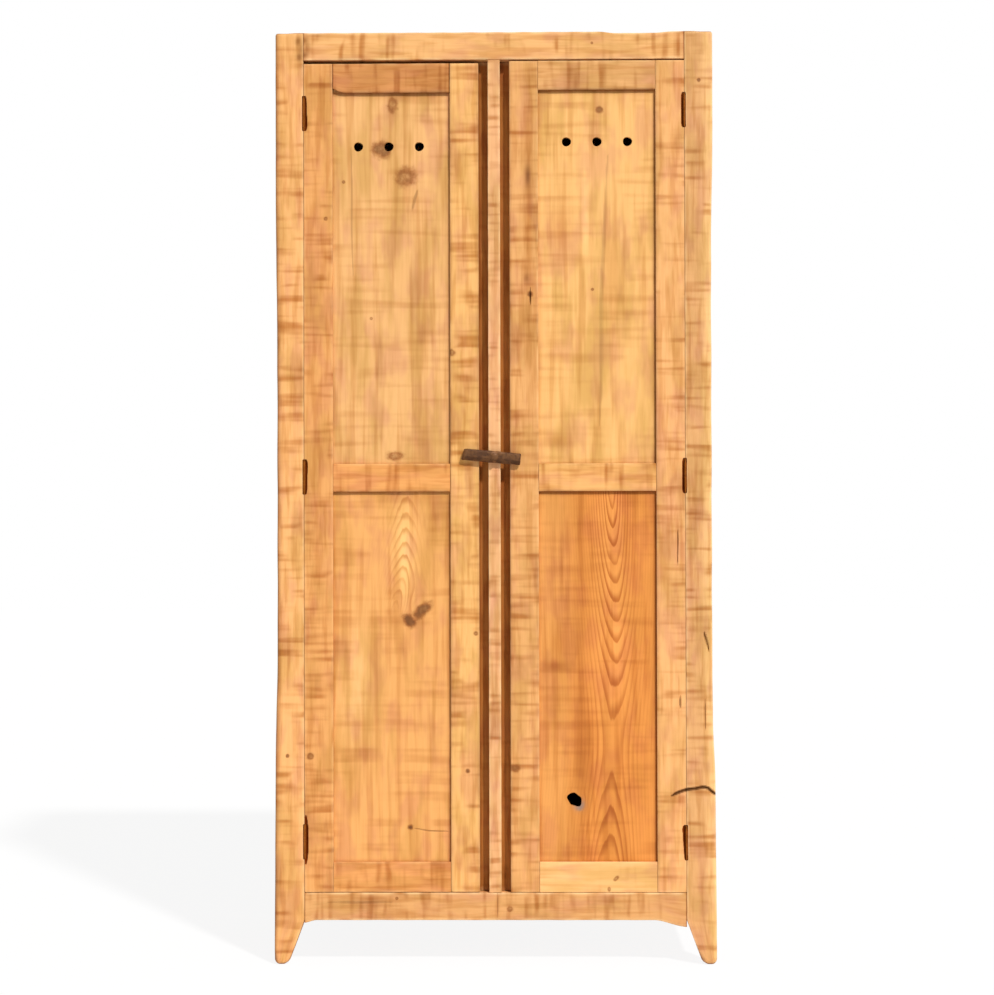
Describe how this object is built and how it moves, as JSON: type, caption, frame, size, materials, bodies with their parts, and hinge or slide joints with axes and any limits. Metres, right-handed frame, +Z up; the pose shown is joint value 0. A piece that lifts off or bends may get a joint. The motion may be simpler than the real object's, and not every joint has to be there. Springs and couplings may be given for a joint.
{
  "type": "workshop cupboard",
  "caption": "Tall free-standing pine cupboard with panelled sides, framed doors on lift-off hinges with air holes, inner shelves and a forged turn button on a fixed mullion.",
  "frame": {"origin": "middle of the overall footprint, at floor height", "axes": "+Z up, -Y out of the doors, +X to the right as seen from the front"},
  "size_m": [0.853, 0.4668, 1.8],
  "materials": {
    "frame_pine": "rough-sawn, aged and oiled",
    "panel_pine": "planed and aged",
    "red_pine": "planed, resinous and reddened",
    "pale_pine": "planed, a later and paler piece",
    "board_pine": "sawn inner boards",
    "dark_stain": "dark brown stain",
    "rusted_iron": "brown rust",
    "forged_iron": "forged, dull brown"
  },
  "bodies": {
    "carcass": {"front_post_left": "frame_pine", "rear_post_left": "frame_pine", "side_bottom_rail_left": "frame_pine", "left_bottom_hinge_frame_leaf": "rusted_iron", "side_middle_rail_left": "frame_pine", "left_middle_hinge_frame_leaf": "rusted_iron", "side_top_rail_left": "frame_pine", "left_top_hinge_frame_leaf": "rusted_iron", "side_lower_panel_left": "panel_pine", "shelf_cleat_lower_left": "board_pine", "side_upper_panel_left": "panel_pine", "shelf_cleat_upper_left": "board_pine", "front_post_right": "frame_pine", "rear_post_right": "frame_pine", "side_bottom_rail_right": "frame_pine", "right_bottom_hinge_frame_leaf": "rusted_iron", "side_middle_rail_right": "frame_pine", "right_middle_hinge_frame_leaf": "rusted_iron", "side_top_rail_right": "frame_pine", "right_top_hinge_frame_leaf": "rusted_iron", "side_lower_panel_right": "panel_pine", "shelf_cleat_lower_right": "board_pine", "side_upper_panel_right": "panel_pine", "shelf_cleat_upper_right": "board_pine", "bottom_rail_front": "frame_pine", "bottom_rail_rear": "frame_pine", "top_rail_front": "frame_pine", "top_rail_rear": "frame_pine", "top_panel": "board_pine", "floor_panel": "board_pine", "shelf_lower": "board_pine", "shelf_upper": "board_pine", "back_board_1": "board_pine", "back_board_2": "board_pine", "back_board_3": "board_pine", "back_board_4": "board_pine", "centre_mullion": "frame_pine", "mullion_stop": "dark_stain", "button_pivot": "forged_iron"},
    "left_door": {"left_hinge_stile": "frame_pine", "left_meeting_stile": "frame_pine", "left_door_bottom_rail": "frame_pine", "left_bottom_hinge_door_leaf": "rusted_iron", "left_door_middle_rail": "frame_pine", "left_middle_hinge_door_leaf": "rusted_iron", "left_door_top_rail": "frame_pine", "left_top_hinge_door_leaf": "rusted_iron", "left_lower_panel": "panel_pine", "left_upper_panel": "panel_pine"},
    "right_door": {"right_hinge_stile": "frame_pine", "right_meeting_stile": "frame_pine", "right_door_bottom_rail": "pale_pine", "right_bottom_hinge_door_leaf": "rusted_iron", "right_door_middle_rail": "frame_pine", "right_middle_hinge_door_leaf": "rusted_iron", "right_door_top_rail": "frame_pine", "right_top_hinge_door_leaf": "rusted_iron", "right_lower_panel": "red_pine", "right_upper_panel": "panel_pine"},
    "turn_button": {"turn_button": "forged_iron"}
  },
  "joints": [
    {"name": "left_door_hinge", "type": "hinge", "parent": "carcass", "child": "left_door", "pos_m": [-0.3681, -0.21655, 0.142], "axis": [0, 0, -1], "range_deg": [0, 170]},
    {"name": "right_door_hinge", "type": "hinge", "parent": "carcass", "child": "right_door", "pos_m": [0.3681, -0.21655, 0.1398], "axis": [0, 0, 1], "range_deg": [0, 170]},
    {"name": "button_turn", "type": "hinge", "parent": "carcass", "child": "turn_button", "pos_m": [0, -0.21655, 0.978], "axis": [0, 1, 0], "continuous": true}
  ]
}
